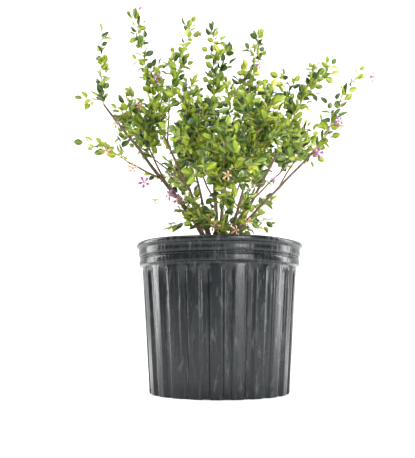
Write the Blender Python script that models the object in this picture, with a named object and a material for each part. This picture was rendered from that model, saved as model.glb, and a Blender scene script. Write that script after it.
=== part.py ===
"""Potted goji berry bush: a fluted nursery pot filled with potting mix, a root crown, twelve canes
with their boughs, and the masses of foliage and blossom that the canes and boughs carry.

Metres, +Z up. The origin is the centre of the pot's flat underside. +X is to the right and -Y is
towards the viewer of the bush's front.
"""
import random
from math import cos, pi, radians, sin, tau

import bmesh
import bpy
from mathutils import Vector
from mathutils.bvhtree import BVHTree

UP = Vector((0, 0, 1))
GAP = 0.0003

# Pot: a 3 gallon nursery can with a rolled lip, two bands round its top and a fluted wall
POT_HEIGHT = 0.245
LIP_RADIUS = 0.139
LIP_BOTTOM = 0.2352
LIP_ROUNDING = 0.0045
LIP_THICKNESS = 0.0045
UPPER_BAND_RADIUS = 0.1348
GROOVE_TOP = 0.2222
GROOVE_BOTTOM = 0.2165
GROOVE_DEPTH = 0.0013
LOWER_BAND_RADIUS = 0.134
BAND_BOTTOM = 0.2065
BAND_WALL = 0.003
EDGE_ROUNDING = 0.001
WALL_TOP_RADIUS = 0.1284
WALL_FOOT_RADIUS = 0.1145
FOOT_CHAMFER = 0.0025
FLUTE_TOP = 0.2
FLUTE_DEPTH = 0.0046
FLUTES = 22
FLUTE_EDGES = (-0.27, 0.27, 0.38, 0.62)
FLUTE_TURN = radians(-92)
POT_WALL = 0.002
POT_FLOOR = 0.0025

# Potting mix and root crown
MIX_EDGE = 0.2195
MIX_TOP = 0.2225
MIX_FLAT_RADIUS = 0.048
MIX_CLEARANCE = 0.0005
CROWN_FLARE_RADIUS = 0.037
CROWN_WAIST_RADIUS = 0.031
CROWN_WAIST = 0.2318
CROWN_TOP_RADIUS = 0.029
CROWN_TOP = 0.243
CROWN_LOBES = 6
CROWN_LOBE_DEPTH = 0.007

# Canes, boughs and the main shoots of the foliage
LIMB_SIDES = 5
CANE_STEPS = 7
BOUGH_STEPS = 4
COURSE_RISE = 0.1
COURSE_BEND = 0.66
FORK_LEAN = 0.5
STEM_SIDES = 4
STEM_STEPS = 7
STEM_RADIUS = 0.0014
STEM_BARE = 0.1
SHOOT_STEPS = 4
SHOOT_RADIUS = 0.0011
SHOOT_END_RADIUS = 0.0006
SHOOT_BARE = 0.25
SHOOT_DROP = 0.35
LOWEST_ROOT = 0.12
ROOT_SPACING = 0.1
STALK_STEPS = 3
STALK_RADIUS = 0.0008
SEARCH_STEPS = 24
FRONT_TURN = Vector((0, -0.8, 0.2))

# Twigs, leaves and blossom
GOLDEN_TURN = radians(137.5)
TWIG_SPACING = 0.0355
TWIG_TRIES = 4
TWIG_LEAN = 0.75
TWIG_LIFT = 0.2
LOWEST_TWIG_SHARE = 1.15
TIPWARD_LOSS = 0.75
FIRST_PLACE = 0.6
SIZE_SPREAD = (0.75, 1.15)
LEAF_SPACING = 0.0185
STEM_LEAF_SPACING = 0.023
LEAF_TRIES = 3
LEAF_SPREAD = (0.8, 1.4)
LEAF_LIFT = (-0.15, 0.3)
LEAF_ROLL = 0.7
END_LEAF_SPREAD = 0.25
END_LEAF_SIZE = 0.8
LEAF_LENGTH = 0.027
LEAF_WIDTH = 0.56
LEAF_RISE = 0.06
LEAF_WIDEST = 0.54
LEAF_SUNK = 0.0004
END_LEAF_SUNK = 0.0022
PETALS = 5
PETAL_RADIUS = 0.0098
PETAL_NOTCH = 0.36
BLOSSOM_FRONT = 0.0016
BLOSSOM_BACK = 0.0022

# The room that a mass keeps to
LOWEST_LEAF = POT_HEIGHT + 0.003
SPACE_MARGIN = 0.002
SPACE_REACH = 0.062
SPACE_SAMPLES = 12

# Canes: foot on the crown's top, tip, radius at foot and tip
CANES = {
    "cane_left": ((-0.019, -0.005), (-0.193, -0.040, 0.477), 0.0047, 0.0017),
    "cane_tall": ((-0.012, 0.009), (-0.100, 0.027, 0.448), 0.0036, 0.0018),
    "cane_centre": ((-0.004, -0.008), (-0.008, -0.012, 0.375), 0.0042, 0.0026),
    "cane_fifth": ((0.005, 0.004), (0.030, 0.026, 0.375), 0.0034, 0.0022),
    "cane_right": ((0.019, 0.007), (0.108, 0.036, 0.420), 0.0038, 0.0019),
    "cane_right_low": ((0.015, -0.010), (0.158, -0.056, 0.394), 0.0030, 0.0016),
    "cane_front_left": ((-0.012, -0.019), (-0.036, -0.090, 0.345), 0.0030, 0.0018),
    "cane_front": ((0.002, -0.021), (0.004, -0.090, 0.295), 0.0028, 0.0017),
    "cane_front_right": ((0.014, -0.020), (0.044, -0.090, 0.340), 0.0030, 0.0018),
    "cane_back_left": ((-0.010, 0.021), (-0.054, 0.100, 0.355), 0.0032, 0.0019),
    "cane_back": ((0.003, 0.018), (0.008, 0.085, 0.375), 0.0034, 0.0020),
    "cane_back_right": ((0.014, 0.020), (0.066, 0.100, 0.360), 0.0032, 0.0019),
}

# Boughs: the cane that carries each, how far along it, tip, radius at foot and tip
BOUGHS = {
    "bough_left_low": ("cane_left", 0.55, (-0.150, -0.058, 0.375), 0.0019, 0.0014),
    "bough_left_mid": ("cane_left", 0.50, (-0.118, -0.026, 0.405), 0.0018, 0.0014),
    "bough_third": ("cane_tall", 0.90, (-0.090, 0.042, 0.500), 0.0016, 0.0013),
    "bough_left_back": ("cane_tall", 0.60, (-0.118, 0.075, 0.410), 0.0019, 0.0014),
    "bough_centre_left": ("cane_centre", 0.62, (-0.032, 0.000, 0.375), 0.0018, 0.0014),
    "bough_centre_right": ("cane_fifth", 0.60, (0.045, -0.006, 0.370), 0.0018, 0.0014),
    "bough_right_low": ("cane_right_low", 0.66, (0.126, -0.062, 0.378), 0.0016, 0.0012),
    "bough_right_back": ("cane_right", 0.55, (0.118, 0.070, 0.390), 0.0018, 0.0014),
}

# Foliage: the limb that carries each mass, how far along it, the tip of the mass's stem,
# the tips of its other shoots, the places of its blossoms, and how far its twigs reach
FOLIAGE = {
    "left_tip": ("cane_left", 1.0, (-0.199, -0.045, 0.608), [(-0.226, -0.050, 0.484)],
                 [], 0.016),
    "left_low": ("bough_left_low", 1.0, (-0.190, -0.066, 0.402), [(-0.219, -0.068, 0.404)],
                 [(-0.182, -0.075, 0.389), (-0.140, -0.075, 0.361)], 0.024),
    "left_mid": ("bough_left_mid", 1.0, (-0.150, -0.030, 0.500),
                 [(-0.171, -0.035, 0.470), (-0.090, -0.035, 0.462)],
                 [(-0.169, -0.055, 0.440)], 0.042),
    "left_back": ("bough_left_back", 1.0, (-0.158, 0.115, 0.525),
                  [(-0.190, 0.120, 0.480), (-0.120, 0.140, 0.480)], [], 0.045),
    "tall_spike": ("cane_tall", 1.0, (-0.155, 0.030, 0.672), [(-0.106, 0.025, 0.570)],
                   [(-0.142, 0.030, 0.682), (-0.110, 0.020, 0.541)], 0.027),
    "third_shoot": ("bough_third", 1.0, (-0.048, 0.050, 0.660), [(-0.084, 0.052, 0.603)],
                    [(-0.033, 0.050, 0.638)], 0.022),
    "centre_left": ("bough_centre_left", 1.0, (-0.047, 0.006, 0.530),
                    [(-0.062, -0.015, 0.450), (-0.040, 0.045, 0.490)], [(-0.032, -0.040, 0.420)], 0.040),
    "centre_top": ("cane_centre", 1.0, (-0.009, -0.010, 0.622), [(0.016, -0.020, 0.585)],
                   [], 0.034),
    "centre_right": ("bough_centre_right", 1.0, (0.082, -0.012, 0.500),
                     [(0.050, -0.035, 0.490), (0.100, 0.005, 0.455)], [(0.045, -0.050, 0.410)], 0.040),
    "fifth_spike": ("cane_fifth", 1.0, (0.073, 0.040, 0.634), [(0.045, 0.045, 0.565)],
                    [(0.070, 0.020, 0.569)], 0.030),
    "right_column": ("cane_right", 1.0, (0.179, 0.050, 0.576),
                     [(0.206, 0.050, 0.578), (0.117, 0.040, 0.555)], [], 0.028),
    "right_tip": ("cane_right_low", 1.0, (0.231, -0.070, 0.522), [(0.190, -0.080, 0.468)],
                  [(0.252, -0.070, 0.512), (0.200, -0.070, 0.436)], 0.024),
    "right_low": ("bough_right_low", 1.0, (0.140, -0.066, 0.425), [(0.105, -0.060, 0.372)],
                  [(0.159, -0.072, 0.386), (0.092, -0.062, 0.342)], 0.028),
    "right_back": ("bough_right_back", 1.0, (0.165, 0.120, 0.490),
                   [(0.195, 0.110, 0.450), (0.130, 0.150, 0.470)], [], 0.042),
    "front_left": ("cane_front_left", 1.0, (-0.055, -0.145, 0.470),
                   [(-0.020, -0.150, 0.440), (-0.062, -0.165, 0.390)], [(-0.030, -0.170, 0.400)], 0.042),
    "front_low": ("cane_front", 1.0, (0.012, -0.190, 0.395),
                  [(-0.030, -0.180, 0.335), (0.050, -0.180, 0.340)], [(0.012, -0.180, 0.325)], 0.040),
    "front_right": ("cane_front_right", 1.0, (0.080, -0.150, 0.465),
                    [(0.040, -0.140, 0.455), (0.105, -0.145, 0.405)], [(0.050, -0.165, 0.385)], 0.042),
    "back_left": ("cane_back_left", 1.0, (-0.085, 0.175, 0.465),
                  [(-0.045, 0.170, 0.480), (-0.115, 0.180, 0.400)], [], 0.046),
    "back_top": ("cane_back", 1.0, (0.020, 0.160, 0.580),
                 [(-0.020, 0.150, 0.535), (0.010, 0.205, 0.490)], [(0.010, 0.215, 0.470)], 0.046),
    "back_right": ("cane_back_right", 1.0, (0.105, 0.170, 0.490),
                   [(0.060, 0.190, 0.440), (0.140, 0.180, 0.430)], [], 0.046),
    "low_left": ("cane_tall", 0.25, (-0.060, -0.045, 0.335), [(-0.040, -0.060, 0.295)], [], 0.034),
    "low_right": ("cane_fifth", 0.25, (0.055, -0.060, 0.335), [(0.060, -0.040, 0.285)],
                  [(0.056, -0.078, 0.290)], 0.034),
    "low_front": ("cane_front", 0.30, (-0.012, -0.085, 0.290), [(-0.042, -0.078, 0.283)],
                  [(-0.018, -0.100, 0.276)], 0.034),
    "low_back_left": ("cane_back_left", 0.35, (-0.075, 0.055, 0.325), [(-0.085, 0.085, 0.290)], [], 0.036),
    "low_back_right": ("cane_back_right", 0.35, (0.085, 0.050, 0.330), [(0.095, 0.080, 0.295)], [], 0.036),
}


def material(name, colour, roughness):
    made = bpy.data.materials.new(name)
    made.use_nodes = True
    shader = made.node_tree.nodes["Principled BSDF"]
    shader.inputs["Base Color"].default_value = (*colour, 1)
    shader.inputs["Roughness"].default_value = roughness
    made.diffuse_color = (*colour, 1)
    return made


def add_object(name, points, faces, finish, smooth=False):
    mesh = bpy.data.meshes.new(name)
    mesh.from_pydata(points, [], faces)
    mesh.materials.append(finish)
    if smooth:
        mesh.shade_smooth()
        mesh.set_sharp_from_angle(angle=radians(35))
    made = bpy.data.objects.new(name, mesh)
    bpy.context.scene.collection.objects.link(made)
    return made


def ring_points(radius, height, angles, depths=None):
    depths = depths or [0] * len(angles)
    return [((radius - d) * cos(a), (radius - d) * sin(a), height) for a, d in zip(angles, depths)]


def zip_rings(low, low_angles, high, high_angles):
    """Faces between two rings of vertex numbers, which may differ in their number of points."""
    def halfway(angles, k):
        if k == len(angles):
            return 2 * tau
        return angles[k] + 0.5 * ((angles[(k + 1) % len(angles)] - angles[k]) % tau)

    faces = []
    i = j = 0
    while i < len(low) or j < len(high):
        a = low[i % len(low)]
        b = high[j % len(high)]
        if halfway(low_angles, i) <= halfway(high_angles, j):
            faces.append((a, low[(i + 1) % len(low)], b))
            i += 1
        else:
            faces.append((a, high[(j + 1) % len(high)], b))
            j += 1
    return faces


def turned(rings, bottom_height, top_height):
    """A closed turned shape from rings of (points, angles), with a pole at each end."""
    points = [(0, 0, bottom_height)]
    numbered = []
    for ring, angles in rings:
        numbered.append((list(range(len(points), len(points) + len(ring))), angles))
        points += ring
    points.append((0, 0, top_height))
    first = numbered[0][0]
    last = numbered[-1][0]
    faces = [(0, first[(k + 1) % len(first)], first[k]) for k in range(len(first))]
    for (low, low_angles), (high, high_angles) in zip(numbered, numbered[1:]):
        faces += zip_rings(low, low_angles, high, high_angles)
    top = len(points) - 1
    faces += [(top, last[k], last[(k + 1) % len(last)]) for k in range(len(last))]
    return points, faces


def pot_angles():
    """The pot's plain angles, two to a flute, and the four edge angles of each flute."""
    pitch = tau / FLUTES
    plain = [FLUTE_TURN + k * pitch / 2 for k in range(2 * FLUTES)]
    fluted = [FLUTE_TURN + (k + edge) * pitch for k in range(FLUTES) for edge in FLUTE_EDGES]
    return plain, fluted


def inner_wall():
    """Radius and height down the pot's inner wall, from the lip to the floor."""
    valley = FLUTE_DEPTH + POT_WALL
    return [(LIP_RADIUS - LIP_THICKNESS, POT_HEIGHT),
            (LIP_RADIUS - 1.4 * LIP_THICKNESS, POT_HEIGHT - LIP_ROUNDING / 3),
            (LOWER_BAND_RADIUS - BAND_WALL, BAND_BOTTOM + POT_WALL),
            (WALL_TOP_RADIUS - valley, FLUTE_TOP - 2 * POT_WALL),
            (WALL_FOOT_RADIUS - valley, POT_FLOOR)]


def outer_bands():
    """Radius and height up the pot's outer side, from the top of the flutes to the lip."""
    groove_radius = LOWER_BAND_RADIUS - GROOVE_DEPTH
    return [(WALL_TOP_RADIUS, BAND_BOTTOM - EDGE_ROUNDING),
            (LOWER_BAND_RADIUS - EDGE_ROUNDING / 2, BAND_BOTTOM),
            (LOWER_BAND_RADIUS, GROOVE_BOTTOM),
            (groove_radius, GROOVE_BOTTOM + EDGE_ROUNDING),
            (groove_radius, GROOVE_TOP - EDGE_ROUNDING),
            (UPPER_BAND_RADIUS - EDGE_ROUNDING / 2, GROOVE_TOP),
            (UPPER_BAND_RADIUS, LIP_BOTTOM),
            (LIP_RADIUS - EDGE_ROUNDING, LIP_BOTTOM + EDGE_ROUNDING),
            (LIP_RADIUS, POT_HEIGHT - LIP_ROUNDING),
            (LIP_RADIUS - 0.4 * LIP_ROUNDING, POT_HEIGHT)]


def build_pot(finish):
    plain, fluted = pot_angles()
    depths = [0, 0, FLUTE_DEPTH, FLUTE_DEPTH] * FLUTES
    wall = [(WALL_FOOT_RADIUS - FOOT_CHAMFER, 0),
            (WALL_FOOT_RADIUS, FOOT_CHAMFER),
            (WALL_TOP_RADIUS, FLUTE_TOP)]
    rings = [(ring_points(radius, height, fluted, depths), fluted) for radius, height in wall]
    rings += [(ring_points(radius, height, plain), plain) for radius, height in outer_bands() + inner_wall()]
    add_object("pot", *turned(rings, 0, POT_FLOOR), finish, smooth=True)


def build_mix(finish):
    """Potting mix that fills the pot to a low dome, with a flat for the root crown."""
    angles = pot_angles()[0][::2]
    _, (lip_radius, lip_height), (band_radius, band_height), *lower = inner_wall()
    share = (MIX_EDGE - band_height) / (lip_height - band_height)
    edge_radius = band_radius + (lip_radius - band_radius) * share - MIX_CLEARANCE
    wall = [(radius - MIX_CLEARANCE, height + MIX_CLEARANCE)
            for radius, height in [*reversed(lower), (band_radius, band_height)]]
    profile = wall + [(edge_radius, MIX_EDGE), (MIX_FLAT_RADIUS, MIX_TOP)]
    rings = [(ring_points(radius, height, angles), angles) for radius, height in profile]
    add_object("potting_mix", *turned(rings, POT_FLOOR + MIX_CLEARANCE, MIX_TOP), finish, smooth=True)


def build_crown(finish):
    """The woody root crown: lobed where it flares on to the mix, and cut flat there."""
    sides = 4 * CROWN_LOBES
    angles = [k * tau / sides for k in range(sides)]
    lobes = [CROWN_LOBE_DEPTH * (0.5 - 0.5 * cos(CROWN_LOBES * angle)) for angle in angles]
    foot = MIX_TOP + GAP
    rings = [(ring_points(CROWN_FLARE_RADIUS, foot, angles, lobes), angles),
             (ring_points(CROWN_WAIST_RADIUS, CROWN_WAIST, angles, [lobe / 2 for lobe in lobes]), angles),
             (ring_points(CROWN_TOP_RADIUS, CROWN_TOP, angles), angles)]
    add_object("root_crown", *turned(rings, foot, CROWN_TOP), finish, smooth=True)


def course(start, heading, tip, steps):
    """A smooth path from start, which it leaves along heading, to tip."""
    a = start + heading * (tip - start).length * COURSE_RISE
    b = start + (tip - start) * COURSE_BEND
    path = []
    for k in range(steps + 1):
        t = k / steps
        path.append((1 - t) ** 3 * start + 3 * t * (1 - t) ** 2 * a + 3 * t * t * (1 - t) * b + t ** 3 * tip)
    return path


def tangent(path, k):
    return (path[min(k + 1, len(path) - 1)] - path[max(k - 1, 0)]).normalized()


def along(path, share):
    """The point at a share of a path, and the path's direction there."""
    place = share * (len(path) - 1)
    k = min(int(place), len(path) - 2)
    return path[k].lerp(path[k + 1], place - k), (path[k + 1] - path[k]).normalized()


def between(lean, aim):
    """The unit direction of aim, leaned over by the vector lean."""
    return (lean + aim.normalized()).normalized()


def across(direction):
    """Two unit directions square to a direction and to each other, the second the more upright."""
    side = direction.cross(UP)
    if side.length < 0.05:
        side = direction.cross(Vector((1, 0, 0)))
    side.normalize()
    return side, side.cross(direction).normalized()


def circle(centre, direction, radius, sides):
    side, other = across(direction)
    angles = [k * tau / sides for k in range(sides)]
    return [centre + radius * (cos(angle) * side - sin(angle) * other) for angle in angles]


def tube(path, radii, sides, heading=None, blunt_end=False):
    """A closed tube along a path. It starts with a flat cut across heading, or in a point."""
    points = [path[0]]
    rings = []
    for k, centre in enumerate(path):
        if (k == 0 and not heading) or (k == len(path) - 1 and not blunt_end):
            continue
        rings.append(list(range(len(points), len(points) + sides)))
        points += circle(centre, tangent(path, k) if k else heading, radii[k], sides)
    points.append(path[-1])
    last = len(points) - 1
    faces = [(0, rings[0][(k + 1) % sides], rings[0][k]) for k in range(sides)]
    for low, high in zip(rings, rings[1:]):
        for k in range(sides):
            m = (k + 1) % sides
            faces += [(low[k], low[m], high[m]), (low[k], high[m], high[k])]
    faces += [(last, rings[-1][k], rings[-1][(k + 1) % sides]) for k in range(sides)]
    return points, faces


def tapered(first, last, count):
    return [first + (last - first) * (k / (count - 1)) for k in range(count)]


def tree_of(piece):
    return BVHTree.FromPolygons(piece[0], piece[1])


def too_near(points, tree):
    return any(tree.find_nearest(point)[3] < GAP for point in points)


def inside(points, tree):
    """Whether any point lies inside the smooth closed surface of a limb."""
    for point in points:
        near, normal, _, _ = tree.find_nearest(point)
        if (point - near).dot(normal) < 0:
            return True
    return False


def leave_limb(start, heading, tip, steps, radius, sides, tree):
    """The course to tip, begun where a ring of this radius first clears the limb."""
    root = start
    ring = circle(root, heading, radius, sides)
    while inside(ring, tree) or too_near(ring, tree):
        root = root + heading * GAP / 3
        ring = circle(root, heading, radius, sides)
    return course(root, heading, tip, steps)


def build_limbs(finish):
    """Canes and boughs, as a dictionary of name to path and search tree."""
    limbs = {}
    for name, (foot, tip, first, last) in CANES.items():
        path = course(Vector((*foot, CROWN_TOP + GAP)), UP, Vector(tip), CANE_STEPS)
        limbs[name] = grow_limb(name, path, UP, first, last, finish)
    for name, (carrier, share, tip, first, last) in BOUGHS.items():
        carrier_path, tree = limbs[carrier]
        start, direction = along(carrier_path, share)
        heading = between(direction * FORK_LEAN, Vector(tip) - start)
        path = leave_limb(start, heading, Vector(tip), BOUGH_STEPS, first, LIMB_SIDES, tree)
        limbs[name] = grow_limb(name, path, heading, first, last, finish)
    return limbs


def grow_limb(name, path, heading, first, last, finish):
    piece = tube(path, tapered(first, last, len(path)), LIMB_SIDES, heading, blunt_end=True)
    add_object(name, *piece, finish, smooth=True)
    return path, tree_of(piece)


def leaf(root, direction, face, length):
    """A leaf blade, pointed at root and tip, keeled below and creased across its widest place."""
    half_width = direction.cross(face).normalized() * length * LEAF_WIDTH / 2
    rise = half_width.cross(direction).normalized() * length * LEAF_RISE
    middle = root + direction * length * LEAF_WIDEST + rise
    points = [root, root + direction * length, middle + half_width, middle - half_width]
    return points, [(0, 2, 3), (1, 3, 2), (0, 1, 2), (0, 3, 1)]


def blossom(centre, facing):
    """A five-petalled star with a raised middle on both sides."""
    side, other = across(facing)
    points = [centre + facing * BLOSSOM_FRONT, centre - facing * BLOSSOM_BACK]
    for k in range(2 * PETALS):
        reach = PETAL_RADIUS if k % 2 == 0 else PETAL_NOTCH * PETAL_RADIUS
        angle = k * pi / PETALS
        points.append(centre + reach * (sin(angle) * side + cos(angle) * other))
    faces = []
    for k in range(2 * PETALS):
        a = 2 + k
        b = 2 + (k + 1) % (2 * PETALS)
        faces += [(0, b, a), (1, a, b)]
    return points, faces


def lay_shoots(stem, tips):
    """Side shoots of a stem, each from a root of its own some way below its tip."""
    shoots = []
    roots = []
    for tip in tips:
        far = Vector(tip)
        below = SHOOT_DROP * (far - stem[0]).length / path_length(stem)
        root_share = max(LOWEST_ROOT, nearest_share(stem, far) - below)
        while any(abs(root_share - other) < ROOT_SPACING for other in roots):
            root_share += ROOT_SPACING / 4
        roots.append(root_share)
        root, direction = along(stem, root_share)
        shoots.append(course(root, between(direction * FORK_LEAN, far - root), far, SHOOT_STEPS))
    return shoots


def lay_stalks(paths, places):
    """Blossom stalks, each from the nearest path: its course, the way it faces, and the path's number."""
    stalks = []
    for place in places:
        centre = Vector(place)
        nearest = min(range(len(paths)),
                      key=lambda k: (along(paths[k], nearest_share(paths[k], centre))[0] - centre).length)
        path = paths[nearest]
        root, direction = along(path, max(LOWEST_ROOT, nearest_share(path, centre) - LOWEST_ROOT))
        facing = between(FRONT_TURN, centre - root)
        stalk = course(root, between(direction * FORK_LEAN, centre - root), centre, STALK_STEPS)
        stalks.append((stalk, facing, nearest))
    return stalks


def lay_skeletons(limbs):
    """The stem, side shoots and blossom stalks of every mass, and the way each stem starts."""
    made = {}
    for name, (carrier, share, tip, tips, places, _) in FOLIAGE.items():
        path, tree = limbs[carrier]
        start, heading = along(path, share)
        if share < 1:
            heading = between(heading * FORK_LEAN, Vector(tip) - start)
            stem = leave_limb(start, heading, Vector(tip), STEM_STEPS, STEM_RADIUS, STEM_SIDES, tree)
        else:
            stem = course(start + heading * GAP, heading, Vector(tip), STEM_STEPS)
        shoots = lay_shoots(stem, tips)
        made[name] = (stem, heading, shoots, lay_stalks([stem, *shoots], places))
    return made


def path_length(path):
    return sum((b - a).length for a, b in zip(path, path[1:]))


def nearest_share(path, point):
    shares = [k / SEARCH_STEPS for k in range(SEARCH_STEPS + 1)]
    return min(shares, key=lambda share: (along(path, share)[0] - point).length)


class Space:
    """The room that each mass keeps to: nearer to its own shoots than to any other mass's."""

    def __init__(self, skeletons):
        self.samples = {}
        for name, (stem, _, shoots, stalks) in skeletons.items():
            paths = [stem, *shoots, *[stalk for stalk, _, _ in stalks]]
            shares = [k / SPACE_SAMPLES for k in range(SPACE_SAMPLES + 1)]
            self.samples[name] = [along(path, share)[0] for path in paths for share in shares]

    def distance(self, name, point):
        return min((point - sample).length for sample in self.samples[name])

    def holds(self, name, points):
        for point in points:
            own = self.distance(name, point)
            if own > SPACE_REACH:
                return False
            for other in self.samples:
                if other != name and self.distance(other, point) < own + SPACE_MARGIN:
                    return False
        return True


class Mass:
    """The closed pieces of one mass of foliage, which are joined when it is complete."""

    def __init__(self, name, space, barriers):
        self.name = name
        self.space = space
        self.barriers = barriers
        self.pieces = []
        self.trees = []

    def add(self, piece, carrier=None, keep_space=True):
        """Adds a piece and gives its number, or None where it would touch what it doesn't grow from."""
        points = piece[0]
        tree = tree_of(piece)
        if min(point.z for point in points) < LOWEST_LEAF:
            return None
        if keep_space and not self.space.holds(self.name, points):
            return None
        if any(too_near(points, barrier) or tree.overlap(barrier) for barrier in self.barriers):
            return None
        if any(number != carrier and tree.overlap(other) for number, other in enumerate(self.trees)):
            return None
        self.pieces.append(piece)
        self.trees.append(tree)
        return len(self.pieces) - 1


def grow_frame(mass, skeleton):
    """Adds the stem, shoots and blossoms. Gives the paths that carry twigs, each with its bare share."""
    stem, heading, shoots, stalks = skeleton
    mass.pieces.append(tube(stem, tapered(STEM_RADIUS, SHOOT_END_RADIUS, len(stem)), STEM_SIDES, heading))
    mass.trees.append(tree_of(mass.pieces[0]))
    numbers = [0]
    carriers = [(stem, 0, STEM_BARE)]
    for path in shoots:
        piece = tube(path, tapered(SHOOT_RADIUS, SHOOT_END_RADIUS, len(path)), 3)
        numbers.append(mass.add(piece, 0, keep_space=False))
        if numbers[-1] is not None:
            carriers.append((path, numbers[-1], SHOOT_BARE))
    for path, facing, nearest in stalks:
        piece = tube(path, [STALK_RADIUS] * len(path), 3)
        number = mass.add(piece, numbers[nearest], keep_space=False)
        if number is not None:
            mass.add(blossom(path[-1], facing), number, keep_space=False)
    return carriers


def grow_twigs(mass, carriers, reach, turn, dice):
    """Adds the twigs, which turn round their carrier by the golden angle. Gives their paths and numbers."""
    twigs = []
    for path, carrier, bare in carriers:
        count = max(1, round(path_length(path) * (1 - bare) / TWIG_SPACING))
        for k in range(count):
            share = bare + (1 - bare) * (k + FIRST_PLACE) / (count + FIRST_PLACE)
            root, heading = along(path, share)
            size = reach * (LOWEST_TWIG_SHARE - TIPWARD_LOSS * share) * dice.uniform(*SIZE_SPREAD)
            for _ in range(TWIG_TRIES):
                turn += GOLDEN_TURN
                side, other = across(heading)
                aim = (heading * TWIG_LEAN + side * cos(turn) + other * sin(turn)).normalized()
                twig = course(root, aim, root + (aim + UP * TWIG_LIFT) * size, 2)
                number = mass.add(tube(twig, tapered(SHOOT_RADIUS, SHOOT_END_RADIUS, 3), 3), carrier)
                if number is not None:
                    twigs.append((twig, number))
                    break
    return twigs


def grow_leaves(mass, paths, spacing, turn, dice):
    """Adds a leaf at each joint of the paths and one at each tip."""
    for path, carrier in paths:
        count = max(1, int(path_length(path) / spacing))
        for k in range(count + 1):
            at_end = k == count
            root, heading = along(path, 1 if at_end else (k + FIRST_PLACE) / (count + FIRST_PLACE))
            side, other = across(heading)
            for _ in range(LEAF_TRIES):
                turn += GOLDEN_TURN
                outward = side * cos(turn) + other * sin(turn)
                spread = END_LEAF_SPREAD if at_end else dice.uniform(*LEAF_SPREAD)
                direction = (heading + outward * spread + UP * dice.uniform(*LEAF_LIFT)).normalized()
                roll = Vector([dice.uniform(-LEAF_ROLL, LEAF_ROLL) for _ in range(3)])
                size = LEAF_LENGTH * dice.uniform(*SIZE_SPREAD) * (END_LEAF_SIZE if at_end else 1)
                sunk = root - (heading * END_LEAF_SUNK if at_end else direction * LEAF_SUNK)
                if mass.add(leaf(sunk, direction, (UP + outward) / 2 + roll, size), carrier) is not None:
                    break


def grow_mass(name, skeletons, space, barriers, dice):
    mass = Mass(name, space, barriers)
    carriers = grow_frame(mass, skeletons[name])
    turn = dice.uniform(0, tau)
    twigs = grow_twigs(mass, carriers, FOLIAGE[name][-1], turn, dice)
    grow_leaves(mass, twigs, LEAF_SPACING, turn, dice)
    grow_leaves(mass, [(path, number) for path, number, _ in carriers], STEM_LEAF_SPACING, turn, dice)
    return mass.pieces


def fuse(name, pieces, finish):
    """One solid from overlapping closed pieces."""
    base = add_object(name, *pieces[0], finish)
    joining = bpy.data.collections.new(name + "_pieces")
    for points, faces in pieces[1:]:
        mesh = bpy.data.meshes.new("piece")
        mesh.from_pydata(points, [], faces)
        joining.objects.link(bpy.data.objects.new("piece", mesh))
    union = base.modifiers.new("union", "BOOLEAN")
    union.operation = "UNION"
    union.operand_type = "COLLECTION"
    union.collection = joining
    union.solver = "EXACT"
    joined = bpy.data.meshes.new_from_object(base.evaluated_get(bpy.context.evaluated_depsgraph_get()))
    base.modifiers.clear()
    base.data = joined
    for spare in list(joining.objects):
        bpy.data.objects.remove(spare)
    bpy.data.collections.remove(joining)
    keep_outer_skin(joined)
    joined.materials.clear()
    joined.materials.append(finish)
    return base


def keep_outer_skin(mesh):
    """Drops loose scraps and the skins of sealed hollows, which leaves the largest closed skin."""
    work = bmesh.new()
    work.from_mesh(mesh)
    bmesh.ops.triangulate(work, faces=work.faces)
    unseen = set(work.faces)
    skins = []
    while unseen:
        seed = unseen.pop()
        skin = [seed]
        for face in skin:
            for edge in face.edges:
                for neighbour in edge.link_faces:
                    if neighbour in unseen:
                        unseen.discard(neighbour)
                        skin.append(neighbour)
        skins.append(skin)
    skins.sort(key=len)
    spare = [face for skin in skins[:-1] for face in skin]
    bmesh.ops.delete(work, geom=spare, context="FACES")
    work.to_mesh(mesh)
    work.free()


def build_foliage(limbs, finish):
    skeletons = lay_skeletons(limbs)
    space = Space(skeletons)
    barriers = [tree for _, tree in limbs.values()]
    for number, name in enumerate(FOLIAGE):
        pieces = grow_mass(name, skeletons, space, barriers, random.Random(number + 1))
        mesh = fuse("foliage_" + name, pieces, finish).data
        barriers.append(tree_of(([v.co for v in mesh.vertices], [p.vertices[:] for p in mesh.polygons])))


for old in list(bpy.data.objects):
    bpy.data.objects.remove(old)
bark = material("bark", (0.12, 0.085, 0.06), 0.8)
build_pot(material("pot_plastic", (0.035, 0.04, 0.042), 0.38))
build_mix(material("potting_mix", (0.085, 0.045, 0.04), 0.95))
build_crown(bark)
build_foliage(build_limbs(bark), material("leaf_green", (0.2, 0.38, 0.06), 0.5))
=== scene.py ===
"""Looks of the potted goji berry bush: the fluted pot, its potting mix, the root crown and canes with
their bark, and the shoots, leaves and flowers that grow on from the canes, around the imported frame.
"""
import random
from math import cos, pi, radians, sin, sqrt, tau

import bmesh
import bpy
from mathutils import Matrix, Vector, noise
from mathutils.kdtree import KDTree


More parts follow.
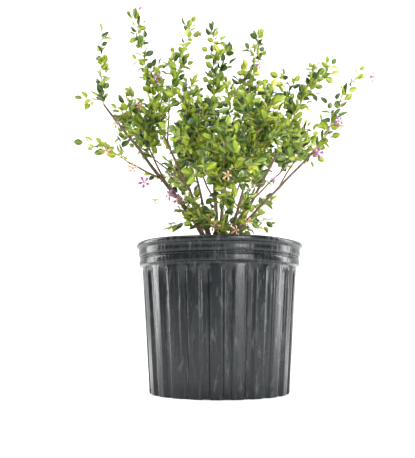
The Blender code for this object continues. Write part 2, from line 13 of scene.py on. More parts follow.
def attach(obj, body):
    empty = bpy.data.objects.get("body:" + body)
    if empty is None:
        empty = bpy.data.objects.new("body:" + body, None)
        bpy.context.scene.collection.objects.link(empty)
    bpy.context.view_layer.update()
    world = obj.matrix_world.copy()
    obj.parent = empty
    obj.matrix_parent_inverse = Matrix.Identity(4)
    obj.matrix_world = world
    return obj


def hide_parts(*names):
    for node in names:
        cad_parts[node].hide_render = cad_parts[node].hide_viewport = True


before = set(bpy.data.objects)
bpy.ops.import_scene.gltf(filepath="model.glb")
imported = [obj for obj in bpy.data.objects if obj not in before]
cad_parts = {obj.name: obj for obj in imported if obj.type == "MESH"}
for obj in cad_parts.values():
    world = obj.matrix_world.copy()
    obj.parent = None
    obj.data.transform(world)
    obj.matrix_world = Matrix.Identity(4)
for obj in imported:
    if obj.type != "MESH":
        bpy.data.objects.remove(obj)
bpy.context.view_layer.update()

# Camera
# The photo looks slightly up at the bush from below the middle of the pot's wall, from over a metre away
# and with a normal lens, so that the lip hides the potting mix.


def in_scene(name, data):
    """An object of the given data, placed in the scene."""
    made = bpy.data.objects.new(name, data)
    bpy.context.scene.collection.objects.link(made)
    return made


camera = in_scene("camera", bpy.data.cameras.new("camera"))
camera.data.sensor_width = 36
camera.data.lens = 54.24
camera.location = (0, -1.158, 0.114)
camera.rotation_euler = (radians(97.73), 0, radians(0.97))
bpy.context.scene.camera = camera


# Pot
# A 3 gallon nursery can, blow-moulded in charcoal plastic: a rolled lip over two bands with a double
# groove between them, and a wall of flutes that run out just below the lower band.
POT_HEIGHT = 0.245
LIP_RADIUS = 0.139
LIP_ROUNDING = (0.0042, 0.0048)
LIP_TURN = (radians(-80), radians(125))
LIP_STEPS = 12
UPPER_BAND_RADIUS = 0.1348
LOWER_BAND_RADIUS = 0.134
WALL_TOP_RADIUS = 0.1284
WALL_FOOT_RADIUS = 0.1145
WALL_HEIGHT = 0.2
FOOT_HEIGHT = 0.0028
WALL_STEPS = 8
FADE_STEPS = 5
FLUTES = 22
SIDES_PER_FLUTE = 16
FLUTE_TURN = radians(-92)
FLUTE_DEPTH = 0.0046
FLUTE_SIDE = (0.25, 0.37)
FLUTE_FADE = (0.192, 0.2015)
WAVY_FROM = 0.18
WAVE_DEPTH = 0.0005

# Steps of the outer side from foot to lip: how far out from the radius of its stretch, and the height
FOOT_EDGE = ((-0.003, 0.0), (-0.0012, 0.0006), (0.0, FOOT_HEIGHT))
SHOULDER = ((0.0, 0.2045), (0.001, 0.2056))
LOWER_BAND = ((-0.0012, 0.2062), (-0.0003, 0.2068), (0.0, 0.208), (0.0003, 0.212), (0.0, 0.2157),
              (-0.0005, 0.2165), (-0.0014, 0.2172), (-0.0015, 0.2182), (-0.0004, 0.2188),
              (-0.0003, 0.2198), (-0.0014, 0.2205), (-0.0014, 0.2215))
UPPER_BAND = ((-0.0004, 0.2223), (0.0, 0.223), (0.0006, 0.2285), (0.0, 0.234), (0.0012, 0.2352))

# Radius and height of the inner side's steps, from lip to floor
INNER_SIDE = ((0.1315, 0.2405), (0.1322, 0.234), (0.1318, 0.226), (0.1312, 0.212), (0.1255, 0.2045),
              (0.1218, 0.196), (0.1162, 0.1), (0.1079, 0.0025))


def smooth_step(low, high, value):
    """From 0 at low to 1 at high, without a corner at either."""
    t = min(1, max(0, (value - low) / (high - low)))
    return t * t * (3 - 2 * t)


def new_material(name, colour, roughness, **sockets):
    """A material and its Principled shader, with more of the shader's sockets set by their names."""
    made = bpy.data.materials.new(name)
    made.use_nodes = True
    made.diffuse_color = (*colour, 1)
    shader = made.node_tree.nodes["Principled BSDF"]
    shader.inputs["Base Color"].default_value = (*colour, 1)
    shader.inputs["Roughness"].default_value = roughness
    for socket, value in sockets.items():
        shader.inputs[socket.replace("_", " ")].default_value = value
    return made, shader


def node(tree, kind, inputs=None, **settings):
    """A node of a tree, with its settings, and its inputs as values or as what feeds them."""
    made = tree.nodes.new(kind)
    for name, value in settings.items():
        setattr(made, name, value)
    for name, value in (inputs or {}).items():
        if isinstance(value, bpy.types.Node):
            value = value.outputs[0]
        if isinstance(value, bpy.types.NodeSocket):
            tree.links.new(value, made.inputs[name])
        else:
            made.inputs[name].default_value = value
    return made


def build_mottle_group():
    """Noise at a scale that can differ by axis, as a mask from 0 to 1 between two limits."""
    group = bpy.data.node_groups.new("mottle", "ShaderNodeTree")
    for name, kind, value in (("Scale", "Vector", (30, 30, 30)), ("From", "Float", 0.4),
                              ("To", "Float", 0.6), ("Detail", "Float", 4)):
        socket = group.interface.new_socket(name, in_out="INPUT", socket_type="NodeSocket" + kind)
        socket.default_value = value
    group.interface.new_socket("Mask", in_out="OUTPUT", socket_type="NodeSocketFloat")
    given = node(group, "NodeGroupInput").outputs
    place = node(group, "ShaderNodeTexCoord").outputs["Object"]
    stretched = node(group, "ShaderNodeVectorMath", {0: place, 1: given["Scale"]}, operation="MULTIPLY")
    cloud = node(group, "ShaderNodeTexNoise", {"Vector": stretched, "Scale": 1, "Detail": given["Detail"]})
    mask = node(group, "ShaderNodeMapRange",
                {"Value": cloud, "From Min": given["From"], "From Max": given["To"]})
    node(group, "NodeGroupOutput", {"Mask": mask})
    return group


mottle_group = build_mottle_group()


def mottle(tree, scale, low, high, detail):
    """A mask from the mottle group, placed in a material with its own values."""
    return node(tree, "ShaderNodeGroup", {"Scale": scale, "From": low, "To": high, "Detail": detail},
                node_tree=mottle_group).outputs["Mask"]


def mix_colour(tree, share, first, second):
    """Two colours or colour sockets mixed by a mask."""
    low, high = (value if isinstance(value, bpy.types.NodeSocket) else (*value, 1)
                 for value in (first, second))
    return node(tree, "ShaderNodeMix", {"Factor": share, 6: low, 7: high}, data_type="RGBA").outputs[2]


def mix_value(tree, share, first, second):
    """A value between two by a mask."""
    return node(tree, "ShaderNodeMapRange", {"Value": share, "To Min": first, "To Max": second}).outputs[0]


def bump(tree, height, strength, distance):
    """A normal from a mask taken as a height."""
    return node(tree, "ShaderNodeBump",
                {"Height": height, "Strength": strength, "Distance": distance}).outputs["Normal"]


def layered_finish(name, shown, roughness, base, layers, relief, **sockets):
    """A material with a base colour under layers of (scale, low, high, detail, colour), each laid on by
    its mottle mask, and a relief of (number of the layer, strength, distance)."""
    made, shader = new_material(name, shown, roughness, **sockets)
    tree = made.node_tree
    masks = []
    for *measures, colour in layers:
        masks.append(mottle(tree, *measures))
        base = mix_colour(tree, masks[-1], base, colour)
    number, strength, distance = relief
    tree.links.new(base, shader.inputs["Base Color"])
    tree.links.new(bump(tree, masks[number], strength, distance), shader.inputs["Normal"])
    return made, shader


def pot_plastic():
    """Charcoal plastic, semi-gloss, with the fine upright scuffs and grey rub marks of a used can."""
    scuffs = ((190, 190, 9), 0.5, 0.72, 6, (0.025, 0.03, 0.032))
    rubs = ((120, 120, 30), 0.58, 0.72, 8, (0.05, 0.055, 0.058))
    made, shader = layered_finish("pot_plastic", (0.02, 0.025, 0.027), 0.3, (0.007, 0.0095, 0.011),
                                  [scuffs, rubs], relief=(0, 0.4, 0.0006), Specular_IOR_Level=0.34)
    dust = mottle(made.node_tree, (11, 11, 7), 0.35, 0.8, 3)
    made.node_tree.links.new(mix_value(made.node_tree, dust, 0.19, 0.33), shader.inputs["Roughness"])
    return made


def pot_profile():
    """Radius and height up the fluted wall, then over the bands and the lip, then down inside."""
    slope = (WALL_TOP_RADIUS - WALL_FOOT_RADIUS) / WALL_HEIGHT
    wall = [(WALL_FOOT_RADIUS + out, height) for out, height in FOOT_EDGE]
    for low, high, steps in ((FOOT_HEIGHT, FLUTE_FADE[0], WALL_STEPS), (*FLUTE_FADE, FADE_STEPS)):
        for k in range(1, steps + 1):
            height = low + (high - low) * k / steps
            wall.append((WALL_FOOT_RADIUS + slope * min(height, WALL_HEIGHT), height))
    bands = []
    for radius, steps in ((WALL_TOP_RADIUS, SHOULDER), (LOWER_BAND_RADIUS, LOWER_BAND),
                          (UPPER_BAND_RADIUS, UPPER_BAND)):
        bands += [(radius + out, height) for out, height in steps]
    wide, tall = LIP_ROUNDING
    for k in range(LIP_STEPS + 1):
        turn = LIP_TURN[0] + (LIP_TURN[1] - LIP_TURN[0]) * k / LIP_STEPS
        bands.append((LIP_RADIUS - wide + wide * cos(turn), POT_HEIGHT - tall + tall * sin(turn)))
    return wall, bands + list(INNER_SIDE)


def pot_point(radius, height, angle, fluted):
    """A point of the pot's skin, with its flutes and the slight waviness of moulded plastic."""
    pitch = tau / FLUTES
    off_ridge = abs(((angle - FLUTE_TURN) / pitch + 0.5) % 1 - 0.5)
    fade = 1 - smooth_step(*FLUTE_FADE, height)
    if fluted:
        radius -= fade * FLUTE_DEPTH * smooth_step(*FLUTE_SIDE, off_ridge)
    depth = WAVE_DEPTH * smooth_step(WAVY_FROM, POT_HEIGHT, height)
    radius += depth * (sin(3 * angle + 0.6) + 0.6 * sin(7 * angle + 2))
    height += depth * sin(5 * angle + 1)
    return radius * cos(angle), radius * sin(angle), height


def ring_faces(first, sides, rings):
    """Faces between rings of points that are numbered one ring after the other."""
    faces = []
    for low in range(first, first + (rings - 1) * sides, sides):
        for k in range(sides):
            m = (k + 1) % sides
            faces.append((low + k, low + m, low + sides + m, low + sides + k))
    return faces


def end_faces(end, first, sides):
    """Faces from an end point to a ring of points."""
    return [(end, first + k, first + (k + 1) % sides) for k in range(sides)]


def lathe(name, rings, bottom, top, finish):
    """A closed smooth mesh from rings of points with one point at each end."""
    sides = len(rings[0])
    points = [bottom] + [point for ring in rings for point in ring] + [top]
    end = len(points) - 1
    faces = [face[::-1] for face in end_faces(0, 1, sides)]
    faces += ring_faces(1, sides, len(rings)) + end_faces(end, end - sides, sides)
    mesh = bpy.data.meshes.new(name)
    mesh.from_pydata(points, [], faces)
    mesh.materials.append(finish)
    mesh.shade_smooth()
    return in_scene(name, mesh)


def build_pot():
    """The can, closed under its foot and over its inner floor."""
    sides = FLUTES * SIDES_PER_FLUTE
    angles = [k * tau / sides for k in range(sides)]
    wall, rest = pot_profile()
    rings = [[pot_point(radius, height, angle, True) for angle in angles] for radius, height in wall]
    rings += [[pot_point(radius, height, angle, False) for angle in angles] for radius, height in rest]
    made = lathe("pot_shell", rings, (0, 0, 0), (0, 0, rest[-1][1]), pot_plastic())
    made.data.set_sharp_from_angle(angle=radians(60))
    return made


pot_shell = build_pot()
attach(pot_shell, "root")
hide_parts("pot")


# Potting mix
# Moist bark and peat, heaped a little towards the root crown, with bark crumbs and white perlite in it.
# The bed is one lumpy solid that fills the pot, and the crumbs and beads are strewn over its top.
MIX_LEVEL = 0.2195
MIX_RADIUS = 0.1305
MIX_RINGS = 34
MIX_SIDES = 120
MIX_FLOOR = (0.107, 0.003)
MIX_WAIST = (0.121, 0.196)
HEAP_HEIGHT = 0.0042
HEAP_SLOPE = (0.02, 0.125)
SMOOTH_RIM = 0.12
DENT_DEPTH = 0.35
DENT_SCALE = 1.7
UPWARD = 0.3

# Height, scale and place in the noise of the bed's lumps and grains
MIX_LUMPS = ((0.0022, 55, 0), (0.0011, 150, 3))


def grainy_finish(name, dark, light):
    """Dull and grainy, in two tones."""
    grain = ((420, 420, 420), 0.35, 0.68, 6, light)
    return layered_finish(name, dark, 0.92, dark, [grain], relief=(0, 0.8, 0.0012))[0]


def mix_height(x, y):
    """The surface of the mix: a low heap with lumps."""
    radius = sqrt(x * x + y * y)
    heap = HEAP_HEIGHT * (1 - smooth_step(*HEAP_SLOPE, radius))
    lumps = sum(rise * noise.noise(Vector((x, y, place)) * scale) for rise, scale, place in MIX_LUMPS)
    return MIX_LEVEL + heap + lumps * (1 - smooth_step(SMOOTH_RIM, MIX_RADIUS, radius))


def build_mix():
    """The bed, from the pot's floor up its wall and over its top to the middle."""
    angles = [k * tau / MIX_SIDES for k in range(MIX_SIDES)]
    rings = []
    for radius, height in (MIX_FLOOR, MIX_WAIST):
        rings.append([(radius * cos(a), radius * sin(a), height) for a in angles])
    for k in range(MIX_RINGS):
        radius = MIX_RADIUS * (1 - k / MIX_RINGS)
        ring = [(radius * cos(a), radius * sin(a)) for a in angles]
        rings.append([(x, y, mix_height(x, y)) for x, y in ring])
    return lathe("mix_bed", rings, (0, 0, MIX_FLOOR[1]), (0, 0, mix_height(0, 0)),
                 grainy_finish("mix_brown", (0.028, 0.015, 0.012), (0.1, 0.055, 0.042)))


mix_bed = build_mix()
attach(mix_bed, "root")
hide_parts("potting_mix")


def rough_lump(name, seed, stretch):
    """One crumb or bead: a ball of twenty faces, stretched and dented."""
    work = bmesh.new()
    bmesh.ops.create_icosphere(work, subdivisions=1, radius=1)
    for vertex in work.verts:
        dent = 1 + DENT_DEPTH * noise.noise(vertex.co * DENT_SCALE + Vector((seed, 0, 0)))
        vertex.co = Vector([place * scale * dent for place, scale in zip(vertex.co, stretch)])
    mesh = bpy.data.meshes.new(name)
    work.to_mesh(mesh)
    work.free()
    return bpy.data.objects.new(name, mesh)


def geometry_tree(name, inputs):
    """A Geometry Nodes tree that takes a shape and the named inputs and gives a shape, still empty."""
    tree = bpy.data.node_groups.new(name, "GeometryNodeTree")
    tree.interface.new_socket("Geometry", in_out="INPUT", socket_type="NodeSocketGeometry")
    for label, kind in inputs.items():
        tree.interface.new_socket(label, in_out="INPUT", socket_type="NodeSocket" + kind)
    tree.interface.new_socket("Geometry", in_out="OUTPUT", socket_type="NodeSocketGeometry")
    return tree, node(tree, "NodeGroupInput").outputs


def end_tree(tree, given, shape):
    """Ends a tree: its shape is made real and takes the finish that was given."""
    real = node(tree, "GeometryNodeRealizeInstances", {"Geometry": shape})
    coated = node(tree, "GeometryNodeSetMaterial", {"Geometry": real, "Material": given["Finish"]})
    node(tree, "NodeGroupOutput", {"Geometry": coated})


def set_on_points(tree, shape, points, turn, size):
    """A node that sets the shape of an object on points."""
    shown = node(tree, "GeometryNodeObjectInfo", {"Object": shape}).outputs["Geometry"]
    return node(tree, "GeometryNodeInstanceOnPoints",
                {"Points": points, "Instance": shown, "Rotation": turn, "Scale": size})


def strewing_tree():
    """Small shapes strewn over the upward faces of a mesh, turned and sized at random."""
    tree, given = geometry_tree("strew_on_mix", {
        "Shape": "Object", "Density": "Float", "Smallest": "Float", "Largest": "Float", "Seed": "Int",
        "Finish": "Material"})
    rise = node(tree, "ShaderNodeSeparateXYZ", {0: node(tree, "GeometryNodeInputNormal")}).outputs["Z"]
    top = node(tree, "FunctionNodeCompare", {"A": rise, "B": UPWARD}, operation="GREATER_THAN")
    points = node(tree, "GeometryNodeDistributePointsOnFaces",
                  {"Mesh": given["Geometry"], "Selection": top, "Density": given["Density"],
                   "Seed": given["Seed"]})
    turn = node(tree, "FunctionNodeRandomValue", {1: (tau, tau, tau), "Seed": given["Seed"]},
                data_type="FLOAT_VECTOR")
    size = node(tree, "FunctionNodeRandomValue",
                {2: given["Smallest"], 3: given["Largest"], "Seed": given["Seed"]})
    end_tree(tree, given, set_on_points(tree, given["Shape"], points, turn, size.outputs[1]))
    return tree


def settle(name, mesh, tree, inputs):
    """An object with a plain mesh: the given one as a tree with these named inputs makes it."""
    made = in_scene(name, mesh)
    modifier = made.modifiers.new(tree.name, "NODES")
    modifier.node_group = tree
    for item in tree.interface.items_tree:
        if item.in_out == "INPUT" and item.name in inputs:
            modifier[item.identifier] = inputs[item.name]
    evaluated = made.evaluated_get(bpy.context.evaluated_depsgraph_get())
    plain = bpy.data.meshes.new_from_object(evaluated)
    made.modifiers.clear()
    made.data = plain
    plain.name = name
    return made


crumb_brown = grainy_finish("crumb_brown", (0.045, 0.022, 0.016), (0.16, 0.085, 0.06))
perlite_white = new_material("perlite_white", (0.75, 0.73, 0.68), 0.9)[0]
strew_on_mix = strewing_tree()

# What is strewn: its stretch, its number to the square metre, its smallest and largest size, its seed
STREWN = {
    "bark_crumbs": ((1.7, 1, 0.6), 60000, 0.0009, 0.0026, 11, crumb_brown),
    "perlite_beads": ((1, 0.9, 0.8), 3600, 0.0006, 0.0016, 13, perlite_white),
}
for name, (stretch, density, smallest, largest, seed, finish) in STREWN.items():
    lump = rough_lump(name + "_shape", seed, stretch)
    strewn = settle(name, mix_bed.data, strew_on_mix,
                    {"Shape": lump, "Density": density, "Smallest": smallest, "Largest": largest,
                     "Seed": seed, "Finish": finish})
    bpy.data.objects.remove(lump)
    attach(strewn, "root")


# Canes and boughs
# Twelve woody canes fan out of the root crown, with boughs that fork off them: brown, furrowed and
# swollen at their old leaf joints. Each is a round skin along a bent path, with a relief of bark.
UP = Vector((0, 0, 1))
CANE_STEPS = 28
BOUGH_STEPS = 16
COURSE_RISE = 0.1
COURSE_BEND = 0.66
FORK_LEAN = 0.5
LIMB_BENDS = 0.0024
BEND_SCALE = 26
LIMB_FLARE = 0.5
FLARE_POWER = 14
JOINT_SWELLING = 0.07
JOINT_PHASE = 2.4
BARK_FLATTENING = (1, 1, 0.25)

# In millimetres: how high the feet of the canes stand, then each foot's place, the tip and the two radii
CANE_FOOT = 239
CANES = {
    "cane_left": ((-19, -5), (-193, -40, 477), 4.7, 1.7),
    "cane_tall": ((-12, 9), (-100, 27, 448), 3.6, 1.8),
    "cane_centre": ((-4, -8), (-8, -12, 375), 4.2, 2.6),
    "cane_fifth": ((5, 4), (30, 26, 375), 3.4, 2.2),
    "cane_right": ((19, 7), (108, 36, 420), 3.8, 1.9),
    "cane_right_low": ((15, -10), (158, -56, 394), 3, 1.6),
    "cane_front_left": ((-12, -19), (-36, -90, 345), 3, 1.8),
    "cane_front": ((2, -21), (4, -90, 295), 2.8, 1.7),
    "cane_front_right": ((14, -20), (44, -90, 340), 3, 1.8),
    "cane_back_left": ((-10, 21), (-54, 100, 355), 3.2, 1.9),
    "cane_back": ((3, 18), (8, 85, 375), 3.4, 2),
    "cane_back_right": ((14, 20), (66, 100, 360), 3.2, 1.9),
}

# The cane that carries each bough, how far along it, and in millimetres its tip and its two radii
BOUGHS = {
    "bough_left_low": ("cane_left", 0.55, (-150, -58, 375), 1.9, 1.4),
    "bough_left_mid": ("cane_left", 0.5, (-118, -26, 405), 1.8, 1.4),
    "bough_third": ("cane_tall", 0.9, (-90, 42, 500), 1.6, 1.3),
    "bough_left_back": ("cane_tall", 0.6, (-118, 75, 410), 1.9, 1.4),
    "bough_centre_left": ("cane_centre", 0.62, (-32, 0, 375), 1.8, 1.4),
    "bough_centre_right": ("cane_fifth", 0.6, (45, -6, 370), 1.8, 1.4),
    "bough_right_low": ("cane_right_low", 0.66, (126, -62, 378), 1.6, 1.2),
    "bough_right_back": ("cane_right", 0.55, (118, 70, 390), 1.8, 1.4),
}


def metres(place):
    """A point that is given in millimetres."""
    return Vector([number / 1000 for number in place])


def course(start, heading, tip, steps):
    """A smooth path from start, which it leaves along heading, to tip."""
    a = start + heading * (tip - start).length * COURSE_RISE
    b = start + (tip - start) * COURSE_BEND
    path = []
    for k in range(steps + 1):
        t = k / steps
        path.append((1 - t) ** 3 * start + 3 * t * (1 - t) ** 2 * a + 3 * t * t * (1 - t) * b + t ** 3 * tip)
    return path


def along(path, share):
    """The point at a share of a path, and the path's direction there."""
    place = share * (len(path) - 1)
    k = min(int(place), len(path) - 2)
    return path[k].lerp(path[k + 1], place - k), (path[k + 1] - path[k]).normalized()


def between(lean, aim):
    """The unit direction of aim, leaned over by the vector lean."""
    return (lean + aim.normalized()).normalized()


def wander(path, reach, place):
    """The path with slight bends, read from noise at a place of their own, and its ends kept."""
    bent = []
    for k, point in enumerate(path):
        share = k / (len(path) - 1)
        drift = Vector([noise.noise(point * BEND_SCALE + Vector((place, axis * 9, 0))) for axis in range(3)])
        bent.append(point + drift * reach * min(1, 4 * share, 4 * (1 - share)))
    return bent


def lay_limbs():
    """The path and the radii at foot and tip of every cane and bough."""
    limbs = {}
    for name, (foot, tip, first, last) in CANES.items():
        limbs[name] = (course(metres((*foot, CANE_FOOT)), UP, metres(tip), CANE_STEPS), first, last)
    for name, (carrier, share, tip, first, last) in BOUGHS.items():
        start, direction = along(limbs[carrier][0], share)
        heading = between(direction * FORK_LEAN, metres(tip) - start)
        limbs[name] = (course(start, heading, metres(tip), BOUGH_STEPS), first, last)
    for name, (path, first, last) in limbs.items():
        limbs[name] = (wander(path, LIMB_BENDS, place=1), first / 1000, last / 1000)
    return limbs


def limb_radii(path, first, last):
    """Radii from foot to tip, thicker at the foot, with the swellings of old leaf joints."""
    radii = []
    for k in range(len(path)):
        share = k / (len(path) - 1)
        swell = 1 + JOINT_SWELLING * sin(k * JOINT_PHASE) + LIMB_FLARE * (1 - share) ** FLARE_POWER
        radii.append((first + (last - first) * share) * swell)
    return radii


def line_mesh(name, lines):
    """A mesh of polylines, each (points, radii), with the radii in the attribute thickness."""
    points = []
    edges = []
    radii = []
    for path, widths in lines:
        edges += [(len(points) + k, len(points) + k + 1) for k in range(len(path) - 1)]
        points += path
        radii += widths
    mesh = bpy.data.meshes.new(name)
    mesh.from_pydata(points, edges, [])
    mesh.attributes.new("thickness", "FLOAT", "POINT").data.foreach_set("value", radii)
    return mesh


def compute(tree, operation, *values):
    """A node that computes with values or with what feeds them."""
    return node(tree, "ShaderNodeMath", dict(enumerate(values)), operation=operation)


def stem_tree():
    """Round stems along polylines, as thick as their attribute says, with a relief of noise."""
    tree, given = geometry_tree("grow_stems", {
        "Sides": "Int", "Relief": "Float", "Grain": "Float", "Finish": "Material"})
    curves = node(tree, "GeometryNodeMeshToCurve", {"Mesh": given["Geometry"]})
    width = node(tree, "GeometryNodeInputNamedAttribute", {"Name": "thickness"}, data_type="FLOAT")
    ring = node(tree, "GeometryNodeCurvePrimitiveCircle", {"Resolution": given["Sides"], "Radius": 1})
    skin = node(tree, "GeometryNodeCurveToMesh",
                {"Curve": curves, "Profile Curve": ring, "Scale": width, "Fill Caps": True})
    flattened = node(tree, "ShaderNodeVectorMath",
                     {0: node(tree, "GeometryNodeInputPosition"), 1: BARK_FLATTENING}, operation="MULTIPLY")
    bark = node(tree, "ShaderNodeTexNoise", {"Vector": flattened, "Scale": given["Grain"], "Detail": 3})
    height = compute(tree, "MULTIPLY", compute(tree, "SUBTRACT", bark, 0.5), given["Relief"])
    shift = node(tree, "ShaderNodeVectorMath", {0: node(tree, "GeometryNodeInputNormal"), "Scale": height},
                 operation="SCALE")
    moved = node(tree, "GeometryNodeSetPosition", {"Geometry": skin, "Offset": shift})
    end_tree(tree, given, node(tree, "GeometryNodeSetShadeSmooth", {0: moved}))
    return tree


grow_stems = stem_tree()
furrows = ((520, 520, 90), 0.35, 0.65, 6, (0.2, 0.13, 0.08))
pale_patches = ((60, 60, 25), 0.5, 0.72, 3, (0.16, 0.12, 0.085))
old_bark = layered_finish("old_bark", (0.05, 0.032, 0.02), 0.85, (0.05, 0.032, 0.02),
                          [furrows, pale_patches], relief=(0, 0.7, 0.0008))[0]
limbs = lay_limbs()
cane_lines = [(path, limb_radii(path, first, last)) for path, first, last in limbs.values()]
canes = settle("canes", line_mesh("canes", cane_lines), grow_stems,
               {"Sides": 14, "Relief": 0.0011, "Grain": 420.0, "Finish": old_bark})
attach(canes, "root")
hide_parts(*CANES, *BOUGHS)


# Root crown
# The woody foot that all the canes stand on shows a little above the mix, lobed where old roots leave
# it and knobbly on top. It is one closed solid with the relief of its bark in its mesh.
CROWN_FLARE_RADIUS = 0.037
CROWN_TOP_RADIUS = 0.029
CROWN_FOOT = 0.2222
CROWN_TOP = 0.243
CROWN_LOBES = 6
CROWN_LOBE_DEPTH = 0.007
CROWN_SIDES = 72
CROWN_STEPS = 14
SHOULDER_FROM = 0.72
SHOULDER_LOSS = 0.35
TOP_RELIEF = 0.0009
TOP_RELIEF_SCALE = 90

# Depth and scale of the crown's knobs and furrows
CROWN_LUMPS = ((0.0022, 120), (0.001, 300))


def build_crown():
    """Rings from the flare up over the shoulder to the top."""
    rings = []
    for k in range(CROWN_STEPS + 1):
        share = k / CROWN_STEPS
        height = CROWN_FOOT + (CROWN_TOP - CROWN_FOOT) * sin(share * pi / 2)
        ring = []
        for m in range(CROWN_SIDES):
            angle = m * tau / CROWN_SIDES
            lobe = CROWN_LOBE_DEPTH * (0.5 - 0.5 * cos(CROWN_LOBES * angle)) * (1 - share) ** 1.5
            narrowing = (CROWN_TOP_RADIUS - CROWN_FLARE_RADIUS) * min(1, share * 1.6)
            radius = CROWN_FLARE_RADIUS + narrowing - lobe
            radius *= 1 - smooth_step(SHOULDER_FROM, 1, share) * SHOULDER_LOSS
            spot = Vector((radius * cos(angle), radius * sin(angle), height))
            for depth, scale in CROWN_LUMPS:
                radius += depth * noise.noise(spot * scale)
            rise = TOP_RELIEF * noise.noise(spot * TOP_RELIEF_SCALE)
            ring.append((radius * cos(angle), radius * sin(angle), height + rise))
        rings.append(ring)
    return lathe("woody_crown", rings, (0, 0, CROWN_FOOT), (0, 0, CROWN_TOP), old_bark)


woody_crown = build_crown()
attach(woody_crown, "root")
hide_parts("root_crown")


# Shoots
# Each mass of foliage grows on from its limb: a stem with side shoots, twigs that turn round them by the
# golden angle, and finer twigs on those, all slender, in patches of tan and green.
STEM_RADIUS = 0.0013
SHOOT_RADIUS = 0.001
TWIG_RADIUS = 0.0007
END_RADIUS = 0.0004
TWIG_END_RADIUS = 0.00032
STEM_STEPS = 18
SHOOT_STEPS = 10
TWIG_STEPS = 6
FINE_STEPS = 4
STEM_BARE = 0.1
SHOOT_BARE = 0.2
FIRST_PLACE = 0.6
LOWEST_ROOT = 0.12
ROOT_SPACING = 0.1
SHOOT_DROP = 0.35
SHOOT_BENDS = 0.0025
SEARCH_STEPS = 24
GOLDEN_TURN = radians(137.5)
TWIG_SPACING = 0.017
TWIG_LEAN = 0.75
TWIG_LIFT = 0.2
LOWEST_TWIG_SHARE = 1.15
TIPWARD_LOSS = 0.75
TWIG_SPREAD = (0.7, 1.15)
FORKED_TWIG = 0.026
FORK_SHARE = 0.45
FINE_SHARE = 0.5

# The limb that carries each mass, how far along it, in millimetres the tips of its stem and of its other
# shoots and how far its twigs reach, and how closely twigs and leaves stand on it
FOLIAGE = {
    "left_tip": ("cane_left", 1, (-199, -45, 608), [(-226, -50, 484)], 12, 0.8),
    "left_low": ("bough_left_low", 1, (-190, -66, 402), [(-219, -68, 404)], 18, 0.8),
    "left_mid": ("bough_left_mid", 1, (-150, -30, 500), [(-171, -35, 470), (-90, -35, 462)], 40, 1.1),
    "left_back": ("bough_left_back", 1, (-158, 115, 525), [(-190, 120, 480), (-120, 140, 480)], 44, 1.0),
    "tall_spike": ("cane_tall", 1, (-155, 30, 672), [(-106, 25, 570)], 26, 1.1),
    "third_shoot": ("bough_third", 1, (-48, 50, 660), [(-84, 52, 603)], 20, 1.0),
    "centre_left": ("bough_centre_left", 1, (-47, 6, 530), [(-62, -15, 450), (-40, 45, 490)], 40, 1.3),
    "centre_top": ("cane_centre", 1, (-9, -10, 622), [(16, -20, 585)], 28, 1.1),
    "centre_right": ("bough_centre_right", 1, (82, -12, 500), [(50, -35, 490), (100, 5, 455)], 40, 1.2),
    "fifth_spike": ("cane_fifth", 1, (73, 40, 634), [(45, 45, 565)], 30, 1.2),
    "right_column": ("cane_right", 1, (179, 50, 576), [(206, 50, 578), (117, 40, 555)], 28, 1.1),
    "right_tip": ("cane_right_low", 1, (231, -70, 522), [(190, -80, 468)], 20, 0.8),
    "right_low": ("bough_right_low", 1, (140, -66, 425), [(105, -60, 372)], 22, 0.8),
    "right_back": ("bough_right_back", 1, (165, 120, 490), [(195, 110, 450), (130, 150, 470)], 42, 1.0),
    "front_left": ("cane_front_left", 1, (-55, -145, 470), [(-20, -150, 440), (-62, -165, 390)], 40, 1.2),
    "front_low": ("cane_front", 1, (12, -190, 395), [(-30, -180, 335), (50, -180, 340)], 38, 1.2),
    "front_right": ("cane_front_right", 1, (80, -150, 465), [(40, -140, 455), (105, -145, 405)], 40, 1.2),
    "back_left": ("cane_back_left", 1, (-85, 175, 465), [(-45, 170, 480), (-115, 180, 400)], 44, 1.0),
    "back_top": ("cane_back", 1, (20, 160, 580), [(-20, 150, 535), (10, 205, 490)], 44, 1.0),
    "back_right": ("cane_back_right", 1, (105, 170, 490), [(60, 190, 440), (140, 180, 430)], 44, 1.0),
    "low_left": ("cane_tall", 0.25, (-60, -45, 335), [(-40, -60, 295)], 30, 0.8),
    "low_right": ("cane_fifth", 0.25, (55, -60, 335), [(60, -40, 285)], 30, 0.8),
    "low_front": ("cane_front", 0.3, (-12, -85, 290), [(-42, -78, 283)], 26, 0.8),
    "low_back_left": ("cane_back_left", 0.35, (-75, 55, 325), [(-85, 85, 290)], 32, 0.8),
    "low_back_right": ("cane_back_right", 0.35, (85, 50, 330), [(95, 80, 295)], 32, 0.8),
}


def path_length(path):
    """How long a path is."""
    return sum((b - a).length for a, b in zip(path, path[1:]))


def nearest_share(path, point):
    """The share of a path at which it comes nearest to a point."""
    shares = [k / SEARCH_STEPS for k in range(SEARCH_STEPS + 1)]
    return min(shares, key=lambda share: (along(path, share)[0] - point).length)


def across(direction):
    """Two unit directions square to a direction and to each other, the second the more upright."""
    side = direction.cross(UP)
    if side.length < 0.05:
        side = direction.cross(Vector((1, 0, 0)))
    side.normalize()
    return side, side.cross(direction).normalized()


def lay_shoots(stem, tips):
    """Side shoots of a stem, each from a root of its own some way below its tip."""
    side_shoots = []
    roots = []
    for tip in tips:
        far = metres(tip)
        below = SHOOT_DROP * (far - stem[0]).length / path_length(stem)
        root_share = max(LOWEST_ROOT, nearest_share(stem, far) - below)
        while any(abs(root_share - other) < ROOT_SPACING for other in roots):
            root_share += ROOT_SPACING / 4
        roots.append(root_share)
        root, direction = along(stem, root_share)
        side_shoots.append(course(root, between(direction * FORK_LEAN, far - root), far, SHOOT_STEPS))
    return side_shoots


